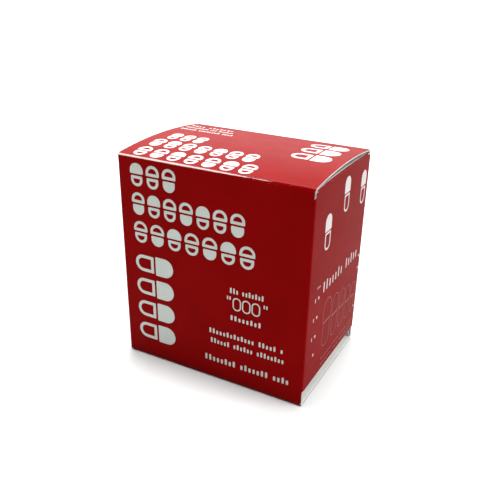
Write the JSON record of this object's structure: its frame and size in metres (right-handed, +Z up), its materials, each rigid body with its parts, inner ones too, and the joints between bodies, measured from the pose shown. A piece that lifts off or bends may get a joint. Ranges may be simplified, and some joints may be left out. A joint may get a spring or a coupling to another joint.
{
  "type": "boxed capsule filler",
  "caption": "Red tuck-end carton standing upright with a bowed lid, holding a hand press that fills and joins large two-part capsules.",
  "frame": {"origin": "centre of the carton's bounding box, on the surface it stands on", "axes": "+Z up, the front panel faces -Y, +X to the right seen from the front"},
  "size_m": [0.0984, 0.0694, 0.1083],
  "materials": {
    "red_board": "coated red carton board",
    "white_plastic": "satin white moulded plastic",
    "blue_plastic": "satin blue moulded plastic",
    "steel": "bright plated steel",
    "paper": "uncoated folded paper",
    "card": "thin smooth plastic card"
  },
  "bodies": {
    "carton": {"carton_sleeve": "red_board", "leaflet": "paper", "spreader_card": "card", "filling_stand": "blue_plastic", "body_block": "white_plastic", "body_cover": "white_plastic", "lift_screw_front_left": "steel", "lift_screw_front_right": "steel", "lift_screw_rear_left": "steel", "lift_screw_rear_right": "steel", "lift_spring_front_left": "steel", "lift_spring_front_right": "steel", "lift_spring_rear_left": "steel", "lift_spring_rear_right": "steel"},
    "lid": {"lid_panel": "red_board"},
    "lid_tuck": {"lid_tuck_flap": "red_board"},
    "lid_dust_left": {"lid_dust_flap_left": "red_board"},
    "lid_dust_right": {"lid_dust_flap_right": "red_board"},
    "closure": {"closure_panel": "red_board"},
    "closure_tuck": {"closure_tuck_flap": "red_board"},
    "closure_dust_left": {"closure_dust_flap_left": "red_board"},
    "closure_dust_right": {"closure_dust_flap_right": "red_board"},
    "lift": {"lift_plate": "white_plastic"},
    "tamping_tool": {"tamper": "blue_plastic"},
    "cap_unit": {"cap_block": "white_plastic", "eject_screw_front_left": "steel", "eject_screw_front_right": "steel", "eject_screw_rear_left": "steel", "eject_screw_rear_right": "steel", "eject_spring_front_left": "steel", "eject_spring_front_right": "steel", "eject_spring_rear_left": "steel", "eject_spring_rear_right": "steel"},
    "ejector": {"ejector_plate": "blue_plastic"}
  },
  "joints": [
    {"name": "lid_hinge", "type": "hinge", "parent": "carton", "child": "lid", "pos_m": [0, -0.03475, 0.1054], "axis": [1, 0, 0], "range_deg": [0, 180]},
    {"name": "lid_tuck_crease", "type": "hinge", "parent": "lid", "child": "lid_tuck", "pos_m": [0, 0.03385, 0.1054], "axis": [1, 0, 0], "range_deg": [0, 45]},
    {"name": "lid_dust_left_crease", "type": "hinge", "parent": "carton", "child": "lid_dust_left", "pos_m": [-0.04925, 0, 0.1045], "axis": [0, -1, 0], "range_deg": [0, 90]},
    {"name": "lid_dust_right_crease", "type": "hinge", "parent": "carton", "child": "lid_dust_right", "pos_m": [0.04925, 0, 0.1045], "axis": [0, 1, 0], "range_deg": [0, 90]},
    {"name": "closure_hinge", "type": "hinge", "parent": "carton", "child": "closure", "pos_m": [0, -0.03475, 0.0006], "axis": [-1, 0, 0], "range_deg": [0, 180]},
    {"name": "closure_tuck_crease", "type": "hinge", "parent": "closure", "child": "closure_tuck", "pos_m": [0, 0.03385, 0.0006], "axis": [-1, 0, 0], "range_deg": [0, 45]},
    {"name": "closure_dust_left_crease", "type": "hinge", "parent": "carton", "child": "closure_dust_left", "pos_m": [-0.04925, 0, 0.0073], "axis": [0, 1, 0], "range_deg": [0, 45]},
    {"name": "closure_dust_right_crease", "type": "hinge", "parent": "carton", "child": "closure_dust_right", "pos_m": [0.04925, 0, 0.0073], "axis": [0, -1, 0], "range_deg": [0, 45]},
    {"name": "lift_plate_travel", "type": "slide", "parent": "carton", "child": "lift", "axis": [0, 0, 1], "range_m": [-0.0035, 0], "stiffness_N_per_m": 600, "springref_m": 0.004, "deforming": ["lift_spring_front_left", "lift_spring_front_right", "lift_spring_rear_left", "lift_spring_rear_right"]},
    {"name": "tamper_lift", "type": "slide", "parent": "carton", "child": "tamping_tool", "axis": [0, 0, 1], "range_m": [0, 0.012]},
    {"name": "cap_block_lift", "type": "slide", "parent": "tamping_tool", "child": "cap_unit", "axis": [0, 0, 1], "range_m": [0, 0.0045]},
    {"name": "ejector_press", "type": "slide", "parent": "cap_unit", "child": "ejector", "axis": [0, 0, 1], "range_m": [-0.007, 0], "stiffness_N_per_m": 500, "springref_m": 0.004, "deforming": ["eject_spring_front_left", "eject_spring_front_right", "eject_spring_rear_left", "eject_spring_rear_right"]}
  ],
  "couplings": [
    {"joint": "lid_tuck_crease", "follows": "lid_hinge", "ratio": 0.25},
    {"joint": "lid_dust_left_crease", "follows": "lid_hinge", "ratio": 0.5},
    {"joint": "lid_dust_right_crease", "follows": "lid_hinge", "ratio": 0.5},
    {"joint": "closure_tuck_crease", "follows": "closure_hinge", "ratio": 0.25},
    {"joint": "closure_dust_left_crease", "follows": "closure_hinge", "ratio": 0.25},
    {"joint": "closure_dust_right_crease", "follows": "closure_hinge", "ratio": 0.25}
  ]
}
